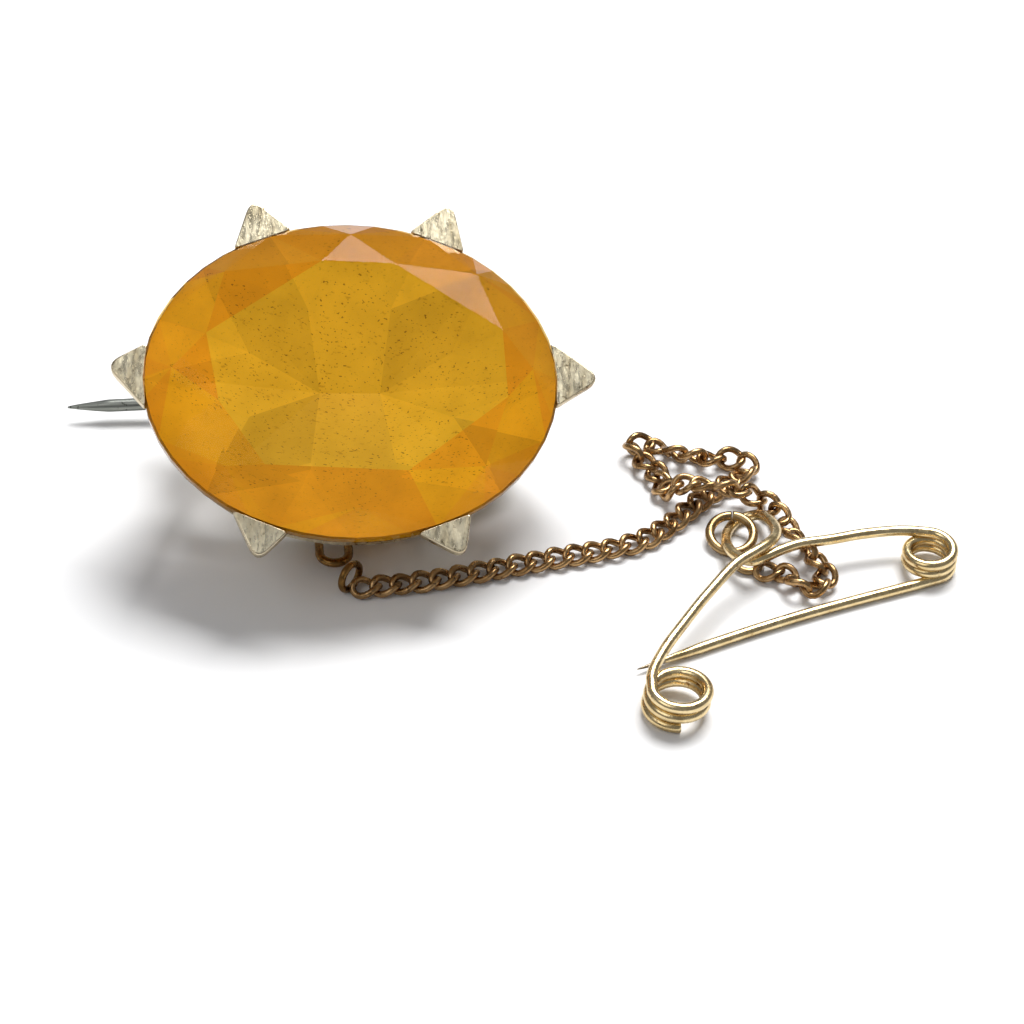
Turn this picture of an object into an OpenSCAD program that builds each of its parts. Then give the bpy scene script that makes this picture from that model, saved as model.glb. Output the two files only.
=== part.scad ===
/* [Stone] */
// Length of the oval stone at its girdle, mm
stone_l = 30; // [24:0.5:36]
// Width of the oval stone at its girdle, mm
stone_w = 24.5; // [20:0.5:28]
// Height of the table above the girdle plane, mm
crown_h = 3; // [2:0.1:4]
// Depth of the keel below the girdle plane, mm
pavilion_d = 5.4; // [4.5:0.1:8.3]
// Thickness of the girdle, mm
girdle_t = 0.7; // [0.4:0.1:1]
// Length of the keel line at the bottom of the stone, mm
keel_l = 4.5; // [2:0.5:6]

/* [Setting] */
// Reach of a claw beyond the girdle, mm
claw_reach = 2.8; // [2:0.1:3.5]
// Thickness of the flat top of a claw, mm
claw_t = 0.6; // [0.4:0.1:1]
// Length of the lower gallery, mm
gallery_l = 26; // [24:0.5:28]
// Width of the lower gallery, mm
gallery_w = 17.6; // [15:0.2:20]
// Height of the lower gallery band, mm
gallery_h = 1.2; // [0.8:0.1:1.6]
// Wall of the gallery bands, mm
gallery_wall = 1.1; // [0.8:0.1:1.4]

/* [Fittings] */
// Distance of the pin fittings above the centre line, mm
fittings_y = 5.2; // [4:0.1:6]
// Distance of the rivet from the middle of the brooch, mm
hinge_x = 12.8; // [11:0.1:13]
// Length of the pin from its rivet to its point, mm
pin_l = 34.5; // [30:0.5:38]
// Diameter of the pin, mm
pin_d = 1; // [0.7:0.05:1.2]
// Angle at which the pin stands open from the catch, degrees
pin_open = 11; // [0:1:20]

/* [Safety chain] */
// Diameter of the chain's outline, mm
chain_d = 1.5; // [1.2:0.1:1.6]
// Diameter of the safety pin's wire, mm
wire_d = 0.8; // [0.6:0.05:0.9]

/* [Stance] */
// Backward lean of the face from level, degrees
lean = 30; // [30:1:30]
// Roll of the right side downwards, degrees
roll = 5; // [5:1:5]
// Turn of the face about the vertical, degrees
yaw = 6; // [6:1:6]
// Height of the girdle's centre above the surface, mm
stand_h = 12.81; // [12.81:0.01:14]

/* [Hidden] */

gold = "#d9c79a";
old_gold = "#a98346";
steel = "#8d8f88";
citrine = [0.85, 0.55, 0.08, 0.85];

// Where the point under the girdle's centre lies, so that the brooch stands over the origin
centre_x = 2.8;
centre_y = -0.2;

// Stone, as fractions of the girdle's half axes
girdle_steps = 48;
table_r = 0.725;
star_r = 0.86;
lower_r = 0.54;
stone_a = stone_l / 2;
stone_b = stone_w / 2;
girdle_top = girdle_t / 2;

// Claws, as angles on the girdle's own parameter
claw_ts = [2, 64, 115, 179, 243, 295];
claw_half = [11.5, 8.2, 8.8, 11.5, 8, 8];
claw_lean = [355, 70, 103, 162, 265, 298];
claw_top = girdle_top + 0.05;
lip = 0.3;
foot_half = 3;
stone_gap = 1.004;

// Heights below the girdle plane
seat_z = -2.9;
seat_h = 1.2;
seat_out = 0.945;
seat_in = 0.865;
gallery_a = gallery_l / 2;
gallery_b = gallery_w / 2;
gallery_top = -8.4;
gallery_bottom = gallery_top - gallery_h;
bar_h = 0.9;
bar_w = 1.9;
bar_bottom = gallery_bottom - bar_h;
rivet_z = bar_bottom - 1.5;

knuckle_w = 1.1;
knuckle_r = 0.95;
ear_w = 0.7;
ear_r = 0.9;
ear_gap = knuckle_w + 0.2;
rivet_r = 0.4;
rivet_clear = 0.05;
pin_taper = 3.2;
pin_tip_r = 0.12;
catch_x = -12.4;
catch_in = pin_d / 2 + 0.25;
catch_wall = 0.5;
catch_w = 1.5;
catch_mouth = 110;

staple_x = -1.1;
staple_r = 1.07;
staple_wire = 0.33;
staple_leg = 2.5;
staple_lift = 30;

chain_r = chain_d / 2;
chain_sides = 8;
wire_r = wire_d / 2;
wire_sides = 10;
smooth = 2;

// The chain's route on the surface, from the link under the stone to the small end ring
chain_route = [
    [0.2, -8.9, 0.85], [4.8, -8.2, 0.8], [9.2, -7.1, 0.8], [13.6, -5.9, 0.8], [17.9, -4.8, 0.8],
    [21.1, -3.7, 0.8], [23.6, -1.6, 0.8], [24.8, -0.2, 0.8], [26, 1.1, 0.8], [28.4, 3.1, 0.8],
    [29.7, 4.1, 0.8], [29.3, 5.3, 0.8], [28, 5.6, 0.8], [26.2, 5.7, 0.8], [24.8, 5.9, 0.8],
    [23.4, 6.5, 0.8], [22.1, 7.3, 0.8], [20.9, 7, 0.8], [21.5, 5.6, 0.8], [22.5, 4.2, 0.8],
    [22.8, 2.8, 0.8], [23.2, 1.7, 1], [24.2, 1.2, 1.9], [25, 0.9, 2.3], [26.3, 0.5, 2.5],
    [27.6, 0.3, 2.4], [28.8, 0.8, 1.6], [30, 1, 0.95], [30.8, 0.2, 0.8], [31.6, -1.3, 0.8],
    [32.3, -2.8, 0.8], [33.1, -4.7, 0.8], [34.1, -6.5, 0.8], [34.6, -8.3, 0.8], [33.9, -9.6, 0.8],
    [32.9, -9.75, 0.8], [32.2, -9, 0.8], [31.9, -8, 0.8], [31.2, -7.1, 0.8], [29.7, -7, 0.8]
];

// The safety pin's wire, from its coil along the upper arm, round the eye and down to the guard
coil_x = 42.2;
coil_y = -6.1;
coil_r = 1.65;
coil_step = wire_d + 0.05;
spring_z = wire_r + 0.02;
frame_route = [
    [42.2, -4.45, 2.12], [41.1, -4.3, 2.12], [39.6, -4.3, 2.12], [37.2, -4.7, 2.15], [34.9, -5.3, 2.15],
    [32.7, -5.7, 2.1], [31.1, -6.4, 2.05], [30, -7, 1.95], [29, -7.3, 1.85], [28.1, -6.6, 1.65],
    [27.5, -5.2, 1.3], [27.5, -3.3, 0.75], [28.1, -1.7, 0.45], [29, -0.9, 0.43], [30, -1, 0.8],
    [30.6, -2.3, 1.6], [31, -4, 2.2], [30.8, -5.5, 2.6], [30, -6.7, 2.85], [29, -7.6, 2.9],
    [28, -8.4, 2.85], [27.1, -9.4, 2.75], [26, -10.9, 2.6], [24.9, -12.5, 2.5], [23.8, -14.3, 2.45],
    [22.6, -16.3, 2.4], [21.8, -17.9, 2.38], [21.3, -19.2, 2.38], [21.1, -20.2, 2.38]
];
guard_x = 23.1;
guard_y = -20.6;
guard_r = 2;
guard_turns = 2.3;
guard_steps = 56;
guard_start = 170;
guard_z = 2.38;
guard_drift = [-0.3, -0.1];
arm_angle = 202.8;
arm_l = 24.4;
arm_taper = 5;

// Points of a closed oval, n of them, turned by a share of one step
function oval(a, b, z, n, off) =
    [for (i = [0:n - 1]) [a * cos((i + off) * 360 / n), b * sin((i + off) * 360 / n), z]];

// Smooth curve through the points p, s steps between each pair
function spline(p, s) = let (n = len(p)) concat(
    [for (i = [0:n - 2], k = [0:s - 1]) let (
        u = k / s,
        p0 = p[max(i - 1, 0)], p1 = p[i], p2 = p[i + 1], p3 = p[min(i + 2, n - 1)]
    ) 0.5 * (2 * p1 + (p2 - p0) * u + (2 * p0 - 5 * p1 + 4 * p2 - p3) * u * u
        + (3 * p1 - p0 - 3 * p2 + p3) * u * u * u)],
    [p[n - 1]]);

function unit(v) = v / norm(v);

// Solid wire swept along a route that never runs straight up
module sweep(route, r, sides) {
    n = len(route);
    points = [for (i = [0:n - 1]) let (
        t = unit(route[min(i + 1, n - 1)] - route[max(i - 1, 0)]),
        side = unit(cross(t, [0, 0, 1])),
        up = cross(side, t)
    ) for (k = [0:sides - 1]) let (a = (k + 0.5) * 360 / sides)
        route[i] + r * (cos(a) * side + sin(a) * up)];
    walls = [for (i = [0:n - 2], k = [0:sides - 1]) let (
        a = i * sides + k, b = i * sides + (k + 1) % sides
    ) each [[a, b, b + sides], [a, b + sides, a + sides]]];
    cap_in = [for (k = [sides - 1:-1:0]) k];
    cap_out = [for (k = [0:sides - 1]) (n - 1) * sides + k];
    polyhedron(points, concat([cap_in, cap_out], walls), convexity = 8);
}

// Closed round ring lying flat
module ring(major, minor) {
    rotate_extrude($fn = 64) translate([major, 0]) circle(r = minor, $fn = 24);
}

// Oval band between two ellipses, standing on z = 0
module oval_band(a, b, wall_a, wall_b, h) {
    difference() {
        scale([1, b / a, 1]) cylinder(r = a, h = h, $fn = 96);
        translate([0, 0, -1]) scale([1, (b - wall_b) / (a - wall_a), 1])
            cylinder(r = a - wall_a, h = h + 2, $fn = 96);
    }
}

// Takes the brooch from its own face-up axes to the way it stands on the surface
module stance() {
    translate([centre_x, centre_y, stand_h]) rotate([lean, roll, yaw]) children();
}

// Places what lies on the surface
module on_surface() {
    translate([centre_x, centre_y, 0]) children();
}

// Oval brilliant with a keel: table, stars, kites and half facets above, mains and half facets below
module gem() {
    a = stone_a;
    b = stone_b;
    g = girdle_top;
    kite = cos(22.5);
    star_z = crown_h - (crown_h - g) * (star_r * kite - table_r) / (1 - table_r);
    lower_z = -pavilion_d + (pavilion_d - g) * lower_r * kite;
    points = concat(
        oval(a * table_r, b * table_r, crown_h, 8, 0.5),
        oval(a * star_r, b * star_r, star_z, 8, 0),
        oval(a, b, g, girdle_steps, 0),
        oval(a, b, -g, girdle_steps, 0),
        oval(a * lower_r, b * lower_r, lower_z, 8, 0.5),
        [[keel_l / 2, 0, -pavilion_d], [-keel_l / 2, 0, -pavilion_d]]);
    function T(i) = (i + 8) % 8;
    function M(i) = 8 + (i + 8) % 8;
    function G(j) = 16 + (j + girdle_steps) % girdle_steps;
    function L(j) = 16 + girdle_steps + (j + girdle_steps) % girdle_steps;
    function P(i) = 16 + 2 * girdle_steps + (i + 8) % 8;
    keel = 24 + 2 * girdle_steps;
    function K(i) = (i == 3 || i == 4 || i == 5) ? keel + 1 : keel;
    faces = concat(
        [[for (i = [7:-1:0]) T(i)]],
        [for (i = [0:7]) [T(i - 1), T(i), M(i)]],
        [for (i = [0:7]) each [[T(i), G(6 * i + 3), M(i)], [T(i), M(i + 1), G(6 * i + 3)]]],
        [for (i = [0:7], j = [-3:2]) [M(i), G(6 * i + j + 1), G(6 * i + j)]],
        [for (j = [0:girdle_steps - 1]) each [[G(j), G(j + 1), L(j + 1)], [G(j), L(j + 1), L(j)]]],
        [for (i = [0:7], j = [0:5]) [P(i), L(6 * i + j), L(6 * i + j + 1)]],
        [for (i = [0, 1, 3, 4, 5, 7]) each [[K(i), P(i - 1), L(6 * i)], [K(i), L(6 * i), P(i)]]],
        [[keel, P(1), L(12)], [keel, L(12), keel + 1], [keel + 1, L(12), P(2)]],
        [[keel + 1, P(5), L(36)], [keel + 1, L(36), keel], [keel, L(36), P(6)]]);
    polyhedron(points, faces, convexity = 4);
}

// Claw i: a flat triangle beside the girdle that narrows down to the lower gallery
module claw(i) {
    t = claw_ts[i];
    h = claw_half[i];
    d = claw_lean[i];
    mid = [stone_a * cos(t), stone_b * sin(t)];
    inner = 1 - lip / stone_b;
    foot_a = gallery_a - 0.1;
    foot_b = gallery_b - 0.1;
    top = [
        [stone_a * inner * cos(t - h), stone_b * inner * sin(t - h)],
        mid + claw_reach * [cos(d), sin(d)],
        [stone_a * inner * cos(t + h), stone_b * inner * sin(t + h)]
    ];
    foot = [
        [foot_a * cos(t - foot_half), foot_b * sin(t - foot_half)],
        [foot_a * cos(t), foot_b * sin(t)] + 0.9 * [cos(d), sin(d)],
        [foot_a * cos(t + foot_half), foot_b * sin(t + foot_half)]
    ];
    color(gold) stance() difference() {
        hull() {
            translate([0, 0, claw_top - claw_t]) linear_extrude(claw_t) polygon(top);
            translate([0, 0, gallery_top]) linear_extrude(0.3) polygon(foot);
        }
        scale(stone_gap) gem();
        translate([0, 0, seat_z - 0.05]) scale([1, stone_b / stone_a, 1])
            cylinder(r = stone_a * seat_out + 0.02, h = seat_h + 0.1, $fn = 96);
    }
}

module stone() {
    color(citrine) stance() gem();
}

// Oval band that carries the stone under its girdle
module seat_rail() {
    wall = seat_out - seat_in;
    color(gold) stance() translate([0, 0, seat_z])
        oval_band(stone_a * seat_out, stone_b * seat_out, stone_a * wall, stone_b * wall, seat_h);
}

// Lower oval band that the claws stand on
module base_rail() {
    color(gold) stance() translate([0, 0, gallery_bottom])
        oval_band(gallery_a, gallery_b, gallery_wall, gallery_wall, gallery_h);
}

// Flat strip across the back that carries hinge and catch
module back_bar() {
    left = catch_x - catch_w / 2;
    right = hinge_x + ear_r + 0.2;
    color(gold) stance()
        translate([left, fittings_y - bar_w / 2, bar_bottom]) cube([right - left, bar_w, bar_h]);
}

// Two ears under the bar, bored for the rivet
module hinge_block() {
    color(gold) stance() translate([hinge_x, fittings_y, rivet_z]) difference() {
        for (s = [-1, 1]) translate([0, s * (ear_gap + ear_w) / 2, 0]) {
            rotate([90, 0, 0]) cylinder(r = ear_r, h = ear_w, center = true, $fn = 48);
            translate([-ear_r, -ear_w / 2, 0]) cube([2 * ear_r, ear_w, bar_bottom - rivet_z]);
        }
        rotate([90, 0, 0]) cylinder(r = rivet_r, h = 4 * ear_w + ear_gap, center = true, $fn = 32);
    }
}

// Rivet with a low head at each end
module hinge_rivet() {
    span = ear_gap + 2 * ear_w;
    color(steel) stance() translate([hinge_x, fittings_y, rivet_z]) rotate([90, 0, 0]) union() {
        cylinder(r = rivet_r, h = span + 0.5, center = true, $fn = 32);
        for (s = [-1, 1]) translate([0, 0, s * (span / 2 + 0.15)])
            cylinder(r = rivet_r + 0.2, h = 0.3, center = true, $fn = 32);
    }
}

// Steel pin with a bored knuckle, drawn at its resting angle
module pin_stem() {
    shaft = pin_l - pin_taper;
    color(steel) stance() translate([hinge_x, fittings_y, rivet_z]) rotate([0, -pin_open, 0])
        difference() {
            union() {
                rotate([90, 0, 0]) cylinder(r = knuckle_r, h = knuckle_w, center = true, $fn = 48);
                rotate([0, -90, 0]) cylinder(r = pin_d / 2, h = shaft, $fn = 32);
                translate([-shaft, 0, 0]) rotate([0, -90, 0])
                    cylinder(r1 = pin_d / 2, r2 = pin_tip_r, h = pin_taper, $fn = 32);
            }
            rotate([90, 0, 0])
                cylinder(r = rivet_r + rivet_clear, h = 2 * knuckle_w, center = true, $fn = 32);
        }
}

// Short post between the bar and the hook
module catch_post() {
    depth = bar_bottom - rivet_z - catch_in - catch_wall;
    color(gold) stance() translate([catch_x, fittings_y, bar_bottom - depth / 2 - 0.05])
        cube([catch_w, 1, depth + 0.1], center = true);
}

// Open hook, its mouth facing away from the brooch
module catch_hook() {
    color(gold) stance() translate([catch_x - catch_w / 2, fittings_y, rivet_z]) rotate([90, 0, 90])
        rotate([0, 0, catch_mouth / 2 - 90])
            rotate_extrude(angle = 360 - catch_mouth, $fn = 64)
                translate([catch_in, 0]) square([catch_wall, catch_w]);
}

// Wire staple on the front of the lower gallery, level with the surface
module chain_staple() {
    y = -gallery_b * sqrt(1 - pow(staple_x / gallery_a, 2));
    color(old_gold) stance() translate([staple_x, y + 0.3, gallery_top - gallery_h / 2 + 0.2])
        rotate([-staple_lift, 0, 0]) {
            for (s = [-1, 1]) translate([s * staple_r, 0, 0]) rotate([90, 0, 0])
                cylinder(r = staple_wire, h = staple_leg, $fn = 24);
            translate([0, -staple_leg, 0]) rotate([0, 0, 180])
                rotate_extrude(angle = 180, $fn = 48) translate([staple_r, 0])
                    circle(r = staple_wire, $fn = 24);
        }
}

// Round link that joins the staple to the chain
module chain_link() {
    color(old_gold) on_surface() translate([-0.2, -8.4, 1.3]) rotate([0, 90, -35]) ring(1.02, 0.27);
}

module safety_chain() {
    color(old_gold) on_surface() sweep(spline(chain_route, smooth), chain_r, chain_sides);
}

module end_ring_large() {
    color(old_gold) on_surface() translate([27.9, -3.2, 0.85]) rotate([16, 0, 0]) ring(1.62, 0.35);
}

module end_ring_small() {
    color(old_gold) on_surface() translate([29, -5.85, 0.3]) ring(0.9, 0.27);
}

module safety_pin_frame() {
    color(gold) on_surface() sweep(spline(frame_route, smooth), wire_r, wire_sides);
}

// Coiled guard that shelters the point
module safety_pin_guard() {
    low = wire_r + 0.02;
    route = [for (i = [0:guard_steps]) let (
        u = i / guard_steps,
        a = guard_start + 360 * guard_turns * u
    ) [
        guard_x + guard_r * cos(a) + guard_drift[0] * u,
        guard_y + guard_r * sin(a) + guard_drift[1] * u,
        guard_z + (low - guard_z) * u
    ]];
    color(gold) on_surface() sweep(route, wire_r, wire_sides);
}

// Upper turns of the spring coil, one with the frame
module safety_pin_coil() {
    color(gold) on_surface() for (i = [1, 2])
        translate([coil_x, coil_y, spring_z + i * coil_step]) ring(coil_r, wire_r);
}

// Lower turn of the spring coil, one with the arm
module safety_pin_spring() {
    color(gold) on_surface() translate([coil_x, coil_y, spring_z]) ring(coil_r, wire_r);
}

// Straight sharpened arm that closes under the frame
module safety_pin_arm() {
    shaft = arm_l - arm_taper;
    color(gold) on_surface() translate([coil_x, coil_y, spring_z]) rotate([0, 0, arm_angle])
        translate([0, coil_r, 0]) rotate([0, 90, 0]) union() {
            cylinder(r = wire_r, h = shaft, $fn = 24);
            translate([0, 0, shaft]) cylinder(r1 = wire_r, r2 = 0.1, h = arm_taper, $fn = 24);
        }
}

stone();
seat_rail();
base_rail();
claw(0);  // claw_right
claw(1);  // claw_back_right
claw(2);  // claw_back_left
claw(3);  // claw_left
claw(4);  // claw_front_left
claw(5);  // claw_front_right
back_bar();
hinge_block();
hinge_rivet();
pin_stem();
catch_post();
catch_hook();
chain_staple();
chain_link();
safety_chain();
end_ring_large();
end_ring_small();
safety_pin_frame();
safety_pin_guard();
safety_pin_coil();
safety_pin_spring();
safety_pin_arm();
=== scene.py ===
import math
import random

import bmesh
import bpy
from mathutils import Matrix, Vector


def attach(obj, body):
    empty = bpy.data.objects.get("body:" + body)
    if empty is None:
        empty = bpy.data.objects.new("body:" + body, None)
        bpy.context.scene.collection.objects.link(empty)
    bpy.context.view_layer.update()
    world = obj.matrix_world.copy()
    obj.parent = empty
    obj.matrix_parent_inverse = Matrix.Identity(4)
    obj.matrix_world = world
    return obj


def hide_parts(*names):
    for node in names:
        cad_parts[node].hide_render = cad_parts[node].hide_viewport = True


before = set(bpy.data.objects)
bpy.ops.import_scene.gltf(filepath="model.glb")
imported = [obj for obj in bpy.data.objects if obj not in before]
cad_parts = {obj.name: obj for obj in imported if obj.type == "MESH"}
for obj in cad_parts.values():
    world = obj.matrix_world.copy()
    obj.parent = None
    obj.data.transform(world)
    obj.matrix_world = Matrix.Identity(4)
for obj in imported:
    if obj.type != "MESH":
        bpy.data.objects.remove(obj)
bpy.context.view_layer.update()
scene = bpy.context.scene
rng = random.Random(7)
MM = 0.001

# ---------------------------------------------------------------- camera
cam_data = bpy.data.cameras.new("camera")
cam_data.lens = 85
cam_data.sensor_width = 36
cam_data.clip_start = 0.005
cam_data.clip_end = 10
camera = bpy.data.objects.new("camera", cam_data)
scene.collection.objects.link(camera)
camera.location = (0.01435, -0.13821, 0.1202)
camera.rotation_euler = (math.radians(49), 0, 0)
scene.camera = camera
scene.view_settings.view_transform = "Standard"

# ---------------------------------------------------------------- places and routes, in millimetres
# SHIFT moves every route and ring to its place beside the brooch; GIRDLE is the stone's middle
SHIFT = Vector((2.8, -0.2, 0))
GIRDLE = Vector((2.8, -0.2, 12.81))
# The chain, as in the CAD model but for its last bend, which is drawn in to clear the safety pin's arm
CHAIN = [
    (0.2, -8.9, 0.85), (4.8, -8.2, 0.8), (9.2, -7.1, 0.8), (13.6, -5.9, 0.8), (17.9, -4.8, 0.8),
    (21.1, -3.7, 0.8), (23.6, -1.6, 0.8), (24.8, -0.2, 0.8), (26, 1.1, 0.8), (28.4, 3.1, 0.8),
    (29.7, 4.1, 0.8), (29.3, 5.3, 0.8), (28, 5.6, 0.8), (26.2, 5.7, 0.8), (24.8, 5.9, 0.8),
    (23.4, 6.5, 0.8), (22.1, 7.3, 0.8), (20.9, 7, 0.8), (21.5, 5.6, 0.8), (22.5, 4.2, 0.8),
    (22.8, 2.8, 0.8), (23.2, 1.7, 1), (24.2, 1.2, 1.9), (25, 0.9, 2.3), (26.3, 0.5, 2.5),
    (27.6, 0.3, 2.4), (28.8, 0.8, 1.6), (30, 1, 0.95), (30.8, 0.2, 0.8), (31.6, -1.3, 0.8),
    (32.3, -2.8, 0.8), (33.1, -4.7, 0.8), (34.1, -6.5, 0.8), (34.4, -8.0, 0.8), (33.7, -8.95, 0.8),
    (32.9, -9.1, 0.8), (32.2, -8.6, 0.8), (31.9, -8, 0.8), (31.2, -7.1, 0.8), (29.7, -7, 0.8),
]
# The safety pin's wire, from its coil along the upper arm, round the eye and down to the guard
FRAME = [
    (42.2, -4.45, 2.12), (41.1, -4.3, 2.12), (39.6, -4.3, 2.12), (37.2, -4.7, 2.15), (34.9, -5.3, 2.15),
    (32.7, -5.7, 2.1), (31.1, -6.4, 2.05), (30, -7, 1.95), (29, -7.3, 1.85), (28.1, -6.6, 1.65),
    (27.5, -5.2, 1.3), (27.5, -3.3, 0.75), (28.1, -1.7, 0.45), (29, -0.9, 0.43), (30, -1, 0.8),
    (30.6, -2.3, 1.6), (31, -4, 2.2), (30.8, -5.5, 2.6), (30, -6.7, 2.85), (29, -7.6, 2.9),
    (28, -8.4, 2.85), (27.1, -9.4, 2.75), (26, -10.9, 2.6), (24.9, -12.5, 2.5), (23.8, -14.3, 2.45),
    (22.6, -16.3, 2.4), (21.8, -17.9, 2.38), (21.3, -19.2, 2.38), (21.1, -20.2, 2.38),
]
LINK_PITCH = 1.45
WIRE_R = 0.4


# ---------------------------------------------------------------- helpers
def spline(points, steps):
    """Smooth curve through the points, by the same formula as in the CAD model."""
    p = [Vector(q) for q in points]
    out = []
    for i in range(len(p) - 1):
        p0, p1, p2, p3 = p[max(i - 1, 0)], p[i], p[i + 1], p[min(i + 2, len(p) - 1)]
        for k in range(steps):
            u = k / steps
            out.append(0.5 * (2 * p1 + (p2 - p0) * u + (2 * p0 - 5 * p1 + 4 * p2 - p3) * u * u
                              + (3 * p1 - p0 - 3 * p2 + p3) * u ** 3))
    return out + [p[-1]]


def tangents(path, closed=False):
    """Direction of the path at each of its points."""
    n = len(path)
    if closed:
        return [(path[(i + 1) % n] - path[i - 1]).normalized() for i in range(n)]
    return [(path[min(i + 1, n - 1)] - path[max(i - 1, 0)]).normalized() for i in range(n)]


def tube(bm, path, radius, sides, closed=False):
    """A round wire along a path; radius is a number or a function of the share of the path."""
    ts = tangents(path, closed)
    side = ts[0].orthogonal().normalized()
    if abs(ts[0].z) < 0.9:
        side = ts[0].cross(Vector((0, 0, 1))).normalized()
    rings = []
    for i, (q, t) in enumerate(zip(path, ts)):
        side = (side - t * side.dot(t)).normalized()
        up = t.cross(side)
        r = radius(i / max(1, len(path) - 1)) if callable(radius) else radius
        rings.append([bm.verts.new(q + r * (math.cos(a) * side + math.sin(a) * up))
                      for a in (2 * math.pi * k / sides for k in range(sides))])
    offset = 0
    if closed:
        offset = min(range(sides), key=lambda k: (rings[-1][k].co - rings[0][0].co).length)
    n = len(rings)
    for i in range(n if closed else n - 1):
        a, b = rings[i], rings[(i + 1) % n]
        shift = offset if (closed and i == n - 1) else 0
        for k in range(sides):
            f = bm.faces.new((a[(k + shift) % sides], a[(k + 1 + shift) % sides], b[(k + 1) % sides], b[k]))
            f.smooth = True
    if not closed:
        bm.faces.new(list(reversed(rings[0])))
        bm.faces.new(rings[-1])


def finish_mesh(name, bm, mats):
    """Mesh object in metres from one built in millimetres; mats is one material or a list."""
    bmesh.ops.recalc_face_normals(bm, faces=bm.faces)
    me = bpy.data.meshes.new(name)
    bm.to_mesh(me)
    bm.free()
    me.transform(Matrix.Scale(MM, 4))
    for m in mats if isinstance(mats, (list, tuple)) else [mats]:
        me.materials.append(m)
    ob = bpy.data.objects.new(name, me)
    scene.collection.objects.link(ob)
    return ob


class Nodes:
    """Short way to build a node material."""

    def __init__(self, name):
        self.mat = bpy.data.materials.new(name)
        self.mat.use_nodes = True
        self.t = self.mat.node_tree
        self.bsdf = self.t.nodes["Principled BSDF"]
        self.coord = self.t.nodes.new("ShaderNodeTexCoord").outputs["Object"]

    def add(self, kind, **sockets):
        """New node; a socket is given by its name, or by its number as i0, i1 and so on."""
        n = self.t.nodes.new(kind)
        for k, v in sockets.items():
            key = int(k[1:]) if k[0] == "i" and k[1:].isdigit() else k.replace("_", " ")
            if isinstance(v, bpy.types.NodeSocket):
                self.t.links.new(v, n.inputs[key])
            else:
                n.inputs[key].default_value = v
        return n

    def link(self, a, b):
        self.t.links.new(a, b)

    def noise(self, scale, detail=4, stretch=(1, 1, 1), rough=0.55):
        m = self.add("ShaderNodeMapping", Vector=self.coord)
        m.inputs["Scale"].default_value = stretch
        return self.add("ShaderNodeTexNoise", Vector=m.outputs[0], Scale=scale, Detail=detail,
                        Roughness=rough).outputs["Fac"]

    def ramp(self, fac, stops):
        n = self.add("ShaderNodeValToRGB", Fac=fac)
        el = n.color_ramp.elements
        while len(el) < len(stops):
            el.new(0.5)
        for e, (pos, col) in zip(el, stops):
            e.position = pos
            e.color = (*col, 1)
        return n.outputs["Color"]

    def mix(self, fac, a, b, mode="MIX"):
        n = self.t.nodes.new("ShaderNodeMix")
        n.data_type = "RGBA"
        n.blend_type = mode
        for key, v in ((0, fac), (6, a), (7, b)):
            if isinstance(v, bpy.types.NodeSocket):
                self.link(v, n.inputs[key])
            else:
                n.inputs[key].default_value = v if key == 0 else (*v, 1)
        return n.outputs[2]

    def bump(self, height, strength, distance):
        n = self.add("ShaderNodeBump", Height=height, Strength=strength, Distance=distance)
        self.link(n.outputs[0], self.bsdf.inputs["Normal"])


TARNISH = 0.45


def metal(name, light, dark, stain, rough, scratch, stretch=(1, 1, 1)):
    """Worn metal: two tones in soft patches, small stains, scratches and a changing gloss."""
    n = Nodes(name)
    patches = n.noise(700, 5, stretch)
    base = n.ramp(patches, [(0.32, dark), (0.62, light)])
    spots = n.ramp(n.noise(2400, 3), [(TARNISH + 0.17, (0, 0, 0)), (TARNISH + 0.27, (1, 1, 1))])
    col = n.mix(spots, base, stain)
    n.link(col, n.bsdf.inputs["Base Color"])
    n.bsdf.inputs["Metallic"].default_value = 1
    gloss = n.ramp(n.noise(1500, 4, stretch), [(0.3, (rough * 0.7,) * 3), (0.7, (rough * 1.5,) * 3)])
    n.link(gloss, n.bsdf.inputs["Roughness"])
    n.bump(n.noise(5200, 3, stretch), scratch, 0.00003)
    return n.mat


# ---------------------------------------------------------------- materials
GOLD = metal("setting_gold", (0.80, 0.72, 0.52), (0.56, 0.47, 0.30), (0.22, 0.17, 0.09), 0.28, 1.0,
             (2.2, 0.3, 1))
# A darker copy of the setting gold for the claws' bevels, sides, legs and undersides: painted shade
GOLD_SHADED_SIDE = metal("setting_side_painted_shade", (0.66, 0.57, 0.40), (0.50, 0.41, 0.26), (0.25, 0.18, 0.10), 0.28, 0.3)
OLD_GOLD = metal("old_gold", (0.30, 0.165, 0.05), (0.16, 0.08, 0.022), (0.05, 0.025, 0.01), 0.26, 0.3)
RING_GOLD = metal("ring_gold", (0.42, 0.29, 0.14), (0.24, 0.145, 0.06), (0.08, 0.045, 0.02), 0.28, 0.3)
CHAIN_GOLD = metal("chain_gold", (0.46, 0.29, 0.135), (0.25, 0.14, 0.055), (0.06, 0.03, 0.012), 0.26, 0.3)
WIRE_GOLD = metal("wire_gold", (0.80, 0.64, 0.36), (0.60, 0.44, 0.21), (0.28, 0.16, 0.07), 0.22, 0.22)
TIP = metal("wire_tip", (0.30, 0.25, 0.18), (0.14, 0.11, 0.08), (0.05, 0.04, 0.03), 0.3, 0.3)
STEEL = metal("steel", (0.30, 0.31, 0.28), (0.13, 0.14, 0.12), (0.05, 0.05, 0.04), 0.33, 0.5, (0.1, 1, 1))


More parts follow.
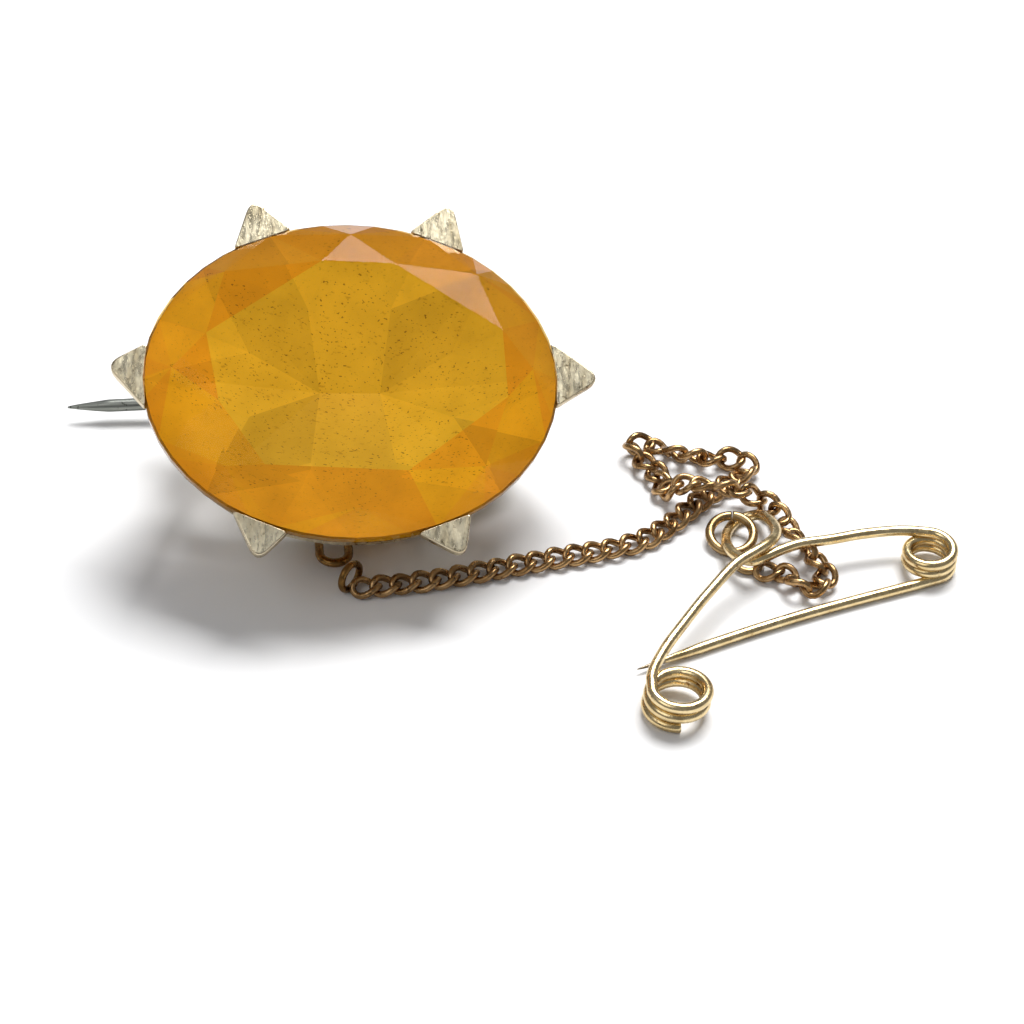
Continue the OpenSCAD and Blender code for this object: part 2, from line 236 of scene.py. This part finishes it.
def citrine():
    """Clear glass tinted facet by facet; its own shine is kept low."""
    n = Nodes("citrine")
    tone = n.add("ShaderNodeAttribute")
    tone.attribute_name = "tone"
    cloud = n.ramp(n.noise(90, 3), [(0.3, (0.93, 0.92, 0.88)), (0.7, (1.0, 1.0, 1.0))])
    n.link(n.mix(1.0, tone.outputs["Color"], cloud, "MULTIPLY"), n.bsdf.inputs["Base Color"])
    n.bsdf.inputs["Transmission Weight"].default_value = 1
    n.bsdf.inputs["IOR"].default_value = 1.46
    n.bsdf.inputs["Specular IOR Level"].default_value = 0.07
    n.bsdf.inputs["Specular Tint"].default_value = (0.12, 0.11, 0.10, 1)
    n.bsdf.inputs["Roughness"].default_value = 0.0
    return n.mat


# Emission strengths of the stone's lining, a painted glow: towards the inside of the stone and towards the
# outside
GLOW_INWARDS, GLOW_OUTWARDS = 0.8, 0.1


def stone_glow():
    """Painted glow: amber lining behind each back facet that gives off its own light, in place of light seen
    through the stone; most of its light goes inwards.
    """
    n = Nodes("stone_painted_glow")
    tone = n.add("ShaderNodeAttribute")
    tone.attribute_name = "tone"
    cloud = n.ramp(n.noise(260, 5), [(0.3, (0.88, 0.87, 0.84)), (0.7, (1.07, 1.07, 1.07))])
    speck = n.ramp(n.noise(4600, 2, (1, 1.7, 1), 0.35), [(0.665, (1, 1, 1)), (0.71, (0.36, 0.29, 0.19))])
    fleck = n.ramp(n.noise(1900, 3, (1, 2.4, 1)), [(0.62, (1, 1, 1)), (0.72, (0.74, 0.68, 0.55))])
    dust = tone.outputs["Alpha"]
    col = n.mix(1.0, tone.outputs["Color"], cloud, "MULTIPLY")
    col = n.mix(dust, col, speck, "MULTIPLY")
    col = n.mix(dust, col, fleck, "MULTIPLY")
    n.link(col, n.bsdf.inputs["Base Color"])
    # The same colour is given off as painted glow
    n.link(col, n.bsdf.inputs["Emission Color"])
    side = n.add("ShaderNodeNewGeometry").outputs["Backfacing"]
    light = n.add("ShaderNodeMapRange", Value=side, i3=GLOW_INWARDS, i4=GLOW_OUTWARDS)
    n.link(light.outputs[0], n.bsdf.inputs["Emission Strength"])
    n.bsdf.inputs["Roughness"].default_value = 0.5
    n.bsdf.inputs["Specular IOR Level"].default_value = 0.1
    return n.mat


GLOW = stone_glow()
CITRINE = citrine()

# ---------------------------------------------------------------- the safety chain
route = [q + SHIFT for q in spline(CHAIN, 8)]


def resample(path, step):
    """Points along a path a given distance apart, with their directions."""
    out, left = [], step / 2
    for a, b in zip(path, path[1:]):
        d = (b - a).length
        while left <= d and d > 0:
            out.append((a.lerp(b, left / d), (b - a).normalized()))
            left += step
        left -= d
    return out


LINK_LONG, LINK_SHORT, LINK_WIRE = 0.98, 0.76, 0.255
LINK_TWIST = math.radians(42)
LINK_STEPS = 22
TANGLE = (0.42, 0.98)
LIFTED = 1.1
LOWEST = 0.02


def chain_links():
    """Curb links along the route; within the TANGLE share of its length they roll about freely."""
    bm = bmesh.new()
    spots = resample(route, LINK_PITCH)
    count = len(spots)
    for i, (q, t) in enumerate(spots):
        share = i / (count - 1)
        tangled = TANGLE[0] < share < TANGLE[1]
        side = t.cross(Vector((0, 0, 1))).normalized()
        up = side.cross(t)
        roll = rng.uniform(-0.12, 0.12)
        if tangled:
            roll = rng.uniform(-0.5, 0.5) + 0.9 * math.sin(i * 0.9)
        drop = Vector((0, 0, -0.22 if q.z < LIFTED and not tangled else -0.05))
        ring = []
        for k in range(LINK_STEPS):
            a = 2 * math.pi * k / LINK_STEPS
            phi = roll + LINK_TWIST * math.cos(a)
            r = LINK_SHORT * math.sin(a)
            ring.append(q + drop + t * (LINK_LONG * math.cos(a))
                        + side * (r * math.cos(phi)) + up * (r * math.sin(phi)))
        low = min(p.z for p in ring) - LINK_WIRE
        if low < LOWEST:
            ring = [p + Vector((0, 0, LOWEST - low)) for p in ring]
        tube(bm, ring, LINK_WIRE, 8, closed=True)
    return finish_mesh("safety_chain_links", bm, CHAIN_GOLD)


chain = chain_links()
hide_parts("safety_chain")
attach(chain, "brooch")


# ---------------------------------------------------------------- the safety pin
COIL = Vector((42.2, -6.1, 0)) + SHIFT
COIL_R = 1.65
COIL_Z = WIRE_R + 0.02
COIL_STEP = 0.85
COIL_STEPS = 150
SPRING_SHARE = 0.4
ARM_ANGLE = math.radians(202.8)
ARM_L = 24.4
ARM_BOW = 0.42
ARM_STEPS = 80
POINT_L = 5
TIP_L = 2
WIRE_SIDES = 16
LEAVE = ARM_ANGLE + math.pi / 2 - 2 * math.pi * 3
GUARD = Vector((23.1, -20.6, 0)) + SHIFT
GUARD_R = 2
GUARD_TOP, GUARD_LOW = 2.38, 0.42
GUARD_START, GUARD_TURNS = 170, 2.3
GUARD_STEPS = 120


def circle(centre, r, a, z):
    """Point at angle a on a level circle."""
    return Vector((centre.x + r * math.cos(a), centre.y + r * math.sin(a), z))


def helix(centre, r, start, end, z0, z1, n):
    """Points on a coil that turns from start to end while it rises from z0 to z1."""
    return [circle(centre, r, start + (end - start) * k / n, z0 + (z1 - z0) * k / n) for k in range(n + 1)]


def arm_path():
    """From the point to the coil, bowed a little towards the frame."""
    start = circle(COIL, COIL_R, LEAVE, COIL_Z)
    along = Vector((math.cos(ARM_ANGLE), math.sin(ARM_ANGLE), 0))
    across = Vector((-along.y, along.x, 0))
    out = []
    for k in range(ARM_STEPS, 0, -1):
        bow = ARM_BOW * math.sin(math.pi * k / ARM_STEPS) ** 1.3
        out.append(start + along * (ARM_L * k / ARM_STEPS) - across * bow)
    return out


def guard_path():
    """The guard's coil, from the frame's height down to the surface, drifting a little as it turns."""
    out = []
    for k in range(4, GUARD_STEPS + 1):
        u = k / GUARD_STEPS
        a = math.radians(GUARD_START + 360 * GUARD_TURNS * u)
        x = GUARD.x - 0.3 * u + GUARD_R * math.cos(a)
        y = GUARD.y - 0.1 * u + GUARD_R * math.sin(a)
        out.append(Vector((x, y, GUARD_TOP + (GUARD_LOW - GUARD_TOP) * u)))
    return out


coil_path = helix(COIL, COIL_R, LEAVE, math.pi / 2, COIL_Z, COIL_Z + 2 * COIL_STEP, COIL_STEPS)
bend = [q + SHIFT for q in spline(FRAME, 6)][2:-2]
arm_points, guard_points = arm_path(), guard_path()
wire_path = arm_points + coil_path + bend + guard_points
wire_dirs = tangents(wire_path)
wire_sides = []
side = wire_dirs[0].cross(Vector((0, 0, 1))).normalized()
for t in wire_dirs:
    side = (side - t * side.dot(t)).normalized()
    wire_sides.append(side)


def wire_piece(name, node, body, first, last, mats, cap_start, cap_end):
    """One length of the safety pin's wire, from point first to point last of the whole wire."""
    bm = bmesh.new()
    rings = []
    for i in range(first, last + 1):
        t, sd = wire_dirs[i], wire_sides[i]
        r = WIRE_R
        from_tip = i / len(arm_points) * ARM_L
        if from_tip < POINT_L:
            r *= min(1, 0.1 + 0.9 * (from_tip / POINT_L) ** 0.75)
        up = t.cross(sd)
        rings.append([bm.verts.new(wire_path[i] + r * (math.cos(a) * sd + math.sin(a) * up))
                      for a in (2 * math.pi * k / WIRE_SIDES for k in range(WIRE_SIDES))])
    for i, (a, b) in enumerate(zip(rings, rings[1:])):
        for k in range(WIRE_SIDES):
            f = bm.faces.new((a[k], a[(k + 1) % WIRE_SIDES], b[(k + 1) % WIRE_SIDES], b[k]))
            f.smooth = True
            if len(mats) > 1 and (first + i) / len(arm_points) * ARM_L < TIP_L:
                f.material_index = 1
    if cap_start:
        bm.faces.new(list(reversed(rings[0])))
    if cap_end:
        bm.faces.new(rings[-1])
    ob = finish_mesh(name, bm, mats)
    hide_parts(node)
    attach(ob, body)
    return ob


arm_end = len(arm_points)
spring_end = arm_end + round(COIL_STEPS * SPRING_SHARE)
coil_end = arm_end + COIL_STEPS
frame_end = coil_end + len(bend)
wire_end = len(wire_path) - 1
arm = wire_piece("pin_arm_wire", "safety_pin_arm", "safety_arm", 0, arm_end, [WIRE_GOLD, TIP], True, False)
spring = wire_piece("pin_spring_wire", "safety_pin_spring", "safety_arm", arm_end, spring_end, [WIRE_GOLD],
                    False, True)
coil = wire_piece("pin_coil_wire", "safety_pin_coil", "brooch", spring_end, coil_end, [WIRE_GOLD],
                  True, False)
pin_frame = wire_piece("pin_frame_wire", "safety_pin_frame", "brooch", coil_end, frame_end, [WIRE_GOLD],
                       False, False)
guard = wire_piece("pin_guard_wire", "safety_pin_guard", "brooch", frame_end, wire_end, [WIRE_GOLD],
                   False, True)


# ---------------------------------------------------------------- jump rings
RING_STEPS = 64
RING_GAP = 0.04
RING_OFFSET = 0.05


def open_ring(name, node, centre, rot, major, minor, gap_at, mats):
    """Round ring bent from wire, with the two ends meeting slightly out of line."""
    bm = bmesh.new()
    path = []
    for k in range(RING_STEPS + 1):
        u = k / RING_STEPS
        a = gap_at + RING_GAP / 2 + (2 * math.pi - RING_GAP) * u
        path.append(Vector((major * math.cos(a), major * math.sin(a), RING_OFFSET * (u - 0.5))))
    tube(bm, path, minor, 16)
    bmesh.ops.transform(bm, matrix=Matrix.Translation(centre) @ rot, verts=bm.verts)
    ob = finish_mesh(name, bm, mats)
    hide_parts(node)
    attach(ob, "brooch")
    return ob


RING_A = Vector((27.9, -3.2, 0.85)) + SHIFT
RING_A_ROT = Matrix.Rotation(math.radians(16), 4, "X")
RING_B = Vector((29, -5.85, 0.3)) + SHIFT
LINK_C = Vector((-0.2, -8.4, 1.3)) + SHIFT
LINK_ROT = Matrix.Rotation(math.radians(-35), 4, "Z") @ Matrix.Rotation(math.radians(90), 4, "Y")
ring_a = open_ring("end_ring_a", "end_ring_large", RING_A, RING_A_ROT, 1.62, 0.35, math.radians(86),
                   RING_GOLD)
ring_b = open_ring("end_ring_b", "end_ring_small", RING_B, Matrix.Identity(4), 0.9, 0.27, 0.4, RING_GOLD)
link = open_ring("chain_link_ring", "chain_link", LINK_C, LINK_ROT, 1.02, 0.27, 2.6, OLD_GOLD)


# ---------------------------------------------------------------- stone
STANCE = (Matrix.Translation(GIRDLE) @ Matrix.Rotation(math.radians(6), 4, "Z")
          @ Matrix.Rotation(math.radians(5), 4, "Y") @ Matrix.Rotation(math.radians(30), 4, "X"))


# The stone before its stance: half length, half width, half the girdle's thickness, and the heights and
# the keel's length
HALF_L, HALF_W, GIRDLE_H = 15, 12.25, 0.35
CROWN, PAVILION, KEEL = 3, 5.4, 4.5
TABLE_SHARE, STAR_SHARE, LOWER_SHARE = 0.725, 0.86, 0.54
SIDES, STEPS = 8, 48
SPAN = STEPS // SIDES
# The table's uneven corners
TABLE = [(10.72, 2.8), (3.02, 7.97), (-2.17, 8.09), (-10.47, 2.39), (-9.64, -2.75), (-6.47, -7.57),
         (3.58, -8.01), (10.89, -2.43)]
# First point of each row: table and star points, the girdle's upper and lower edge, pavilion, keel
FIRST_GIRDLE = 2 * SIDES
FIRST_LOW = FIRST_GIRDLE + STEPS
FIRST_PAVILION = FIRST_LOW + STEPS
FIRST_KEEL = FIRST_PAVILION + SIDES
# The lining's body colour, which it also gives off as painted glow, its size beside the stone's, and how much
# dust shows on the girdle's side of it
OLIVE = Vector((0.42, 0.235, 0.012))
LINING = 0.985
LESS_DUST = 0.35


def oval(a, b, z, n, off):
    return [Vector((a * math.cos(2 * math.pi * (i + off) / n), b * math.sin(2 * math.pi * (i + off) / n), z))
            for i in range(n)]


def middle(pts, ids):
    return sum((pts[i] for i in ids), Vector()) / len(ids)


def line_stone(bm, pts, faces, lay):
    """Amber lining just inside the back facets, lit by its own painted glow; each facet has one seeded shade
    of its body colour.
    """
    inside = STANCE @ Vector((0, 0, 1))
    for ids in faces:
        c = middle(pts, ids)
        if c.z > GIRDLE_H:
            continue
        f = bm.faces.new([bm.verts.new(STANCE @ (pts[i] * LINING)) for i in ids])
        f.normal_update()
        if f.normal.dot(inside - STANCE @ c) < 0:
            f.normal_flip()
        f.material_index = 1
        main = ids[0] >= FIRST_KEEL
        if main:
            facet = next(i for i in ids if i < FIRST_PAVILION and (i - FIRST_LOW) % SPAN == 0)
        else:
            facet = ids[0] * 2 + (ids[1] - FIRST_LOW) % SPAN // (SPAN // 2)
        tone = OLIVE * random.Random(31 * facet + 5).uniform(0.80, 1.16)
        for lp in f.loops:
            lp[lay] = (*tone, 1 if main else LESS_DUST)


def front_tint(z, ids):
    """Tint of a facet of the glass: amber girdle and back, clear table, orange crown."""
    if z < GIRDLE_H:
        return (1, 0.8, 0.35)
    if len(ids) == SIDES:
        return (0.97, 0.98, 0.96)
    pick = rng.random()
    return (0.93 + 0.07 * pick, 0.52 + 0.26 * pick, 0.30)


def gem_points():
    kite = math.cos(math.pi / SIDES)
    star_z = CROWN - (CROWN - GIRDLE_H) * (STAR_SHARE * kite - TABLE_SHARE) / (1 - TABLE_SHARE)
    lower_z = -PAVILION + (PAVILION - GIRDLE_H) * LOWER_SHARE * kite
    return ([Vector((x, y, CROWN)) for x, y in TABLE]
            + oval(HALF_L * STAR_SHARE, HALF_W * STAR_SHARE, star_z, SIDES, 0)
            + oval(HALF_L, HALF_W, GIRDLE_H, STEPS, 0) + oval(HALF_L, HALF_W, -GIRDLE_H, STEPS, 0)
            + oval(HALF_L * LOWER_SHARE, HALF_W * LOWER_SHARE, lower_z, SIDES, 0.5)
            + [Vector((KEEL / 2, 0, -PAVILION)), Vector((-KEEL / 2, 0, -PAVILION))])


def star(i):
    return SIDES + i % SIDES


def upper(j):
    return FIRST_GIRDLE + j % STEPS


def lower(j):
    return FIRST_LOW + j % STEPS


def pavilion(i):
    return FIRST_PAVILION + i % SIDES


def gem_faces():
    """Table, star, kite, upper break, lower break, girdle and pavilion facets, as lists of points."""
    near, far = FIRST_KEEL, FIRST_KEEL + 1
    faces = [list(range(SIDES))]
    faces += [[(i - 1) % SIDES, i, star(i)] for i in range(SIDES)]
    for i in range(SIDES):
        at, half = SPAN * i, SPAN // 2
        faces += [[i, upper(at + half), star(i)], [i, star(i + 1), upper(at + half)]]
        faces += [[star(i), upper(at + j + 1), upper(at + j)] for j in range(-half, half)]
        faces += [[pavilion(i), lower(at + j), lower(at + j + 1)] for j in range(SPAN)]
    faces += [[upper(j), upper(j + 1), lower(j + 1), lower(j)] for j in range(STEPS)]
    for i, keel in ((0, near), (1, near), (3, far), (4, far), (5, far), (7, near)):
        faces += [[keel, pavilion(i - 1), lower(SPAN * i)], [keel, lower(SPAN * i), pavilion(i)]]
    for i, a, b in ((2, near, far), (6, far, near)):
        mid = lower(SPAN * i)
        faces += [[a, pavilion(i - 1), mid], [a, mid, b], [b, mid, pavilion(i)]]
    return faces


def gem():
    """The faceted glass and, as its second material, the lining behind it, which glows with painted light."""
    pts, faces = gem_points(), gem_faces()
    bm = bmesh.new()
    lay = bm.loops.layers.float_color.new("tone")
    v = [bm.verts.new(STANCE @ p) for p in pts]
    for ids in faces:
        f = bm.faces.new([v[i] for i in ids])
        tint = front_tint(middle(pts, ids).z, ids)
        for lp in f.loops:
            lp[lay] = (*tint, 1)
    bmesh.ops.recalc_face_normals(bm, faces=bm.faces)
    line_stone(bm, pts, faces, lay)
    me = bpy.data.meshes.new("stone_faceted")
    bm.to_mesh(me)
    bm.free()
    me.transform(Matrix.Scale(MM, 4))
    me.materials.append(CITRINE)
    me.materials.append(GLOW)
    ob = bpy.data.objects.new("stone_faceted", me)
    scene.collection.objects.link(ob)
    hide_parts("stone")
    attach(ob, "brooch")


gem()


# ---------------------------------------------------------------- claws
# name, place on the girdle, half width, direction and reach of the sharp point, in degrees and millimetres
CLAWS = [
    ("claw_right", 2, 11.8, 355, 3.35), ("claw_back_right", 64, 8.6, 70, 3.55),
    ("claw_back_left", 115, 9.0, 103, 3.35), ("claw_left", 179, 11.8, 162, 2.8),
    ("claw_front_left", 243, 8.4, 265, 2.95), ("claw_front_right", 295, 8.2, 298, 2.9),
]


def rounded(points, radius, steps=6):
    """Closed outline with each corner turned on a small arc; radius gives one value per corner."""
    out = []
    n = len(points)
    for i, q in enumerate(points):
        a = (points[i - 1] - q).normalized()
        b = (points[(i + 1) % n] - q).normalized()
        r = radius[i]
        for k in range(steps + 1):
            u = k / steps
            out.append(q + a * r * (1 - u) ** 2 + b * r * u ** 2)
    return out


CLAW_IN_L, CLAW_IN_W = 15.03, 12.28
FOOT_L, FOOT_W, FOOT_HALF, FOOT_REACH = 12.9, 8.7, 3, 0.9
CLAW_EDGE = 0.13
# Heights with the inset there, and then shares of the way down the leg with their heights
CLAW_TOP = ((0.40, CLAW_EDGE + 0.02), (0.385, CLAW_EDGE * 0.55), (0.33, CLAW_EDGE * 0.2), (0.25, 0),
            (-0.25, 0))
CLAW_LEG = ((0.35, -2.6), (0.7, -5.6), (1.0, -8.35))


def direction(a):
    return Vector((math.cos(math.radians(a)), math.sin(math.radians(a))))


def on_oval(half_l, half_w, a):
    return Vector((half_l * direction(a).x, half_w * direction(a).y))


def claw(name, t, half, lean, reach):
    """Flat triangular top against the girdle, on a leg that narrows down to the base rail; all but the flat
    top take the darker gold, painted shade.
    """
    apex = on_oval(HALF_L, HALF_W, t) + reach * direction(lean)
    tip = [on_oval(CLAW_IN_L, CLAW_IN_W, t - half), apex, on_oval(CLAW_IN_L, CLAW_IN_W, t + half)]
    foot = [on_oval(FOOT_L, FOOT_W, t - FOOT_HALF), on_oval(FOOT_L, FOOT_W, t) + FOOT_REACH * direction(lean),
            on_oval(FOOT_L, FOOT_W, t + FOOT_HALF)]
    top = rounded(tip, (0.35, 1.25, 0.35))
    low = rounded(foot, (0.12, 0.3, 0.12))
    mid = sum(tip, Vector((0, 0))) / 3
    levels = []
    for z, inset in CLAW_TOP:
        levels.append([Vector((*(q + (mid - q).normalized() * inset), z)) for q in top])
    for u, z in CLAW_LEG:
        levels.append([Vector((*(a.lerp(b, u)), z)) for a, b in zip(top, low)])
    bm = bmesh.new()
    rows = [[bm.verts.new(STANCE @ q) for q in row] for row in levels]
    n = len(rows[0])
    # The flat top takes the setting gold; the underside, bevel, sides and legs take the darker copy, painted
    # shade
    bm.faces.new(rows[0])
    bm.faces.new(list(reversed(rows[-1]))).material_index = 1
    for i, (a, b) in enumerate(zip(rows, rows[1:])):
        for k in range(n):
            f = bm.faces.new((a[k], a[(k + 1) % n], b[(k + 1) % n], b[k]))
            f.material_index = 1
            f.smooth = i < 3
    ob = finish_mesh(name + "_shaped", bm, [GOLD, GOLD_SHADED_SIDE])
    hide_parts(name)
    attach(ob, "brooch")


for row in CLAWS:
    claw(*row)


# ---------------------------------------------------------------- CAD pieces that keep their shape
def dress(node, mat):
    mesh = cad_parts[node].data
    mesh.materials.clear()
    mesh.materials.append(mat)


for node in ("seat_rail", "base_rail", "back_bar", "hinge_block", "catch_post", "catch_hook"):
    dress(node, GOLD)
dress("chain_staple", OLD_GOLD)
dress("hinge_rivet", STEEL)


# ---------------------------------------------------------------- the brooch's pin
PIN_FROM = Vector((13.708, 11.508, 3.932))
PIN_DIR = Vector((-0.99683, -0.00884, -0.07906))
PIN_L = 34.5
PIN_R = 0.5
PIN_TAPER = 3.2
PIN_STEPS = 100
# The shaft's first points are left out, and it starts about 0.7 mm clear of the knuckle
PIN_SKIP = 3
HINGE_AXIS = Vector((0.04718, -0.86583, -0.49810))
KNUCKLE_R, KNUCKLE_EDGE_R, KNUCKLE_BORE = 0.95, 0.9, 0.45
KNUCKLE_ROWS = (-0.55, -0.5, 0.5, 0.55)
KNUCKLE_SIDES = 40


def back_pin():
    """Ground steel pin with a slight bow, and its bored knuckle."""
    bm = bmesh.new()
    normal = HINGE_AXIS.cross(PIN_DIR).normalized()
    if normal.z < 0:
        normal = -normal
    path = []
    for k in range(PIN_STEPS + 1):
        x = PIN_L * (1 - (1 - k / PIN_STEPS) ** 1.6)
        left = PIN_L - x
        dip = -0.30 * math.exp(-((left - 7.5) / 4.2) ** 2) + 0.12 * math.exp(-(left / 1.6) ** 2)
        path.append(PIN_FROM + PIN_DIR * x + normal * dip)
    path = path[PIN_SKIP:]

    def radius(u):
        left = (path[-1] - path[round(u * (len(path) - 1))]).length
        return PIN_R * min(1, 0.14 + 0.86 * (left / PIN_TAPER) ** 0.8)

    tube(bm, path, radius, 20)

    def turn(y, r):
        return [bm.verts.new(PIN_FROM + HINGE_AXIS * y + r * (math.cos(a) * PIN_DIR + math.sin(a) * normal))
                for a in (2 * math.pi * k / KNUCKLE_SIDES for k in range(KNUCKLE_SIDES))]

    widths = (KNUCKLE_EDGE_R, KNUCKLE_R, KNUCKLE_R, KNUCKLE_EDGE_R)
    rows = [turn(y, r) for y, r in zip(KNUCKLE_ROWS, widths)]
    rows += [turn(y, KNUCKLE_BORE) for y in (KNUCKLE_ROWS[-1], KNUCKLE_ROWS[0])]
    for a, b in zip(rows, rows[1:] + [rows[0]]):
        for k in range(KNUCKLE_SIDES):
            n = (k + 1) % KNUCKLE_SIDES
            bm.faces.new((a[k], a[n], b[n], b[k])).smooth = True
    ob = finish_mesh("back_pin", bm, STEEL)
    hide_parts("pin_stem")
    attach(ob, "pin")


back_pin()


# ---------------------------------------------------------------- floor, light
def floor_material():
    n = Nodes("floor_paper")
    tone = n.ramp(n.noise(30, 3), [(0.3, (0.86, 0.86, 0.865)), (0.7, (0.90, 0.90, 0.90))])
    n.link(tone, n.bsdf.inputs["Base Color"])
    n.bsdf.inputs["Roughness"].default_value = 0.9
    return n.mat


bm = bmesh.new()
bmesh.ops.create_grid(bm, x_segments=1, y_segments=1, size=1500)
floor = finish_mesh("floor", bm, floor_material())

world = bpy.data.worlds.new("studio")
scene.world = world
world.use_nodes = True
world.node_tree.nodes["Background"].inputs["Color"].default_value = (0.93, 0.95, 1.0, 1)
world.node_tree.nodes["Background"].inputs["Strength"].default_value = 0.24


def area(name, location, target, size, power):
    data = bpy.data.lights.new(name, "AREA")
    data.shape = "RECTANGLE"
    data.size, data.size_y = size
    data.energy = power
    ob = bpy.data.objects.new(name, data)
    scene.collection.objects.link(ob)
    ob.location = location
    ob.rotation_euler = (Vector(target) - Vector(location)).to_track_quat("-Z", "Y").to_euler()


area("key", (0.10, 0.22, 0.42), (0.01, 0, 0), (0.30, 0.22), 3.3)
area("fill", (-0.25, -0.25, 0.45), (0, 0, 0), (0.35, 0.35), 0.55)
